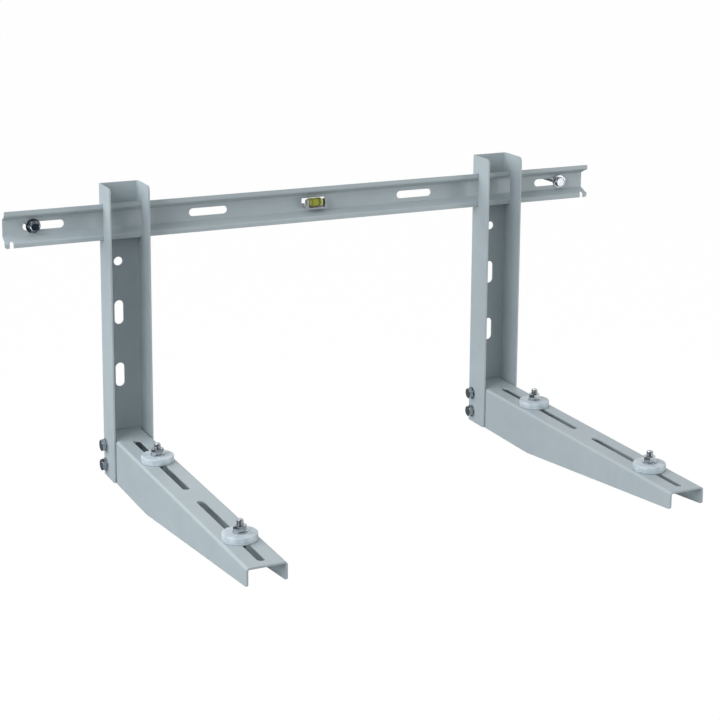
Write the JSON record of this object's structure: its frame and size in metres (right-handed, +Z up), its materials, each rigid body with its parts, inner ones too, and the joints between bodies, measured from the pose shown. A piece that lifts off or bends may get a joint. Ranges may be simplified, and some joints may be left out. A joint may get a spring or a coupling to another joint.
{
  "type": "air conditioner outdoor unit wall bracket",
  "caption": "Wall bracket for an outdoor unit: slotted hat-section cross bar through two channel uprights, bolted tapered arms with rubber pads, a spirit level and wall screws.",
  "frame": {"origin": "on the wall plane, at the middle of the cross bar's length and height, half way between the two wall screws", "axes": "+Y into the wall, +X to the right as seen from the front, +Z up; the arms reach out along -Y"},
  "size_m": [0.8, 0.5135, 0.365],
  "materials": {
    "powder_coat": "satin powder coat",
    "zinc": "bright zinc plate",
    "pad_rubber": "pale translucent soft plastic",
    "vial_plastic": "clear",
    "vial_liquid": "tinted liquid",
    "clip_plastic": "moulded"
  },
  "bodies": {
    "root": {"cross_bar": "powder_coat", "left_upright": "powder_coat", "left_arm": "powder_coat", "left_arm_bolts": "zinc", "left_arm_washers": "zinc", "left_arm_nuts": "zinc", "left_wall_screw": "zinc", "left_rear_pad": "pad_rubber", "left_rear_pad_bolt": "zinc", "left_rear_pad_lower_washer": "zinc", "left_rear_pad_upper_washer": "zinc", "left_rear_pad_nut": "zinc", "left_front_pad": "pad_rubber", "left_front_pad_bolt": "zinc", "left_front_pad_lower_washer": "zinc", "left_front_pad_upper_washer": "zinc", "left_front_pad_nut": "zinc", "right_upright": "powder_coat", "right_arm": "powder_coat", "right_arm_bolts": "zinc", "right_arm_washers": "zinc", "right_arm_nuts": "zinc", "right_wall_screw": "zinc", "right_rear_pad": "pad_rubber", "right_rear_pad_bolt": "zinc", "right_rear_pad_lower_washer": "zinc", "right_rear_pad_upper_washer": "zinc", "right_rear_pad_nut": "zinc", "right_front_pad": "pad_rubber", "right_front_pad_bolt": "zinc", "right_front_pad_lower_washer": "zinc", "right_front_pad_upper_washer": "zinc", "right_front_pad_nut": "zinc", "level_vial": "vial_plastic", "level_liquid": "vial_liquid", "level_clip": "clip_plastic"}
  },
  "joints": []
}
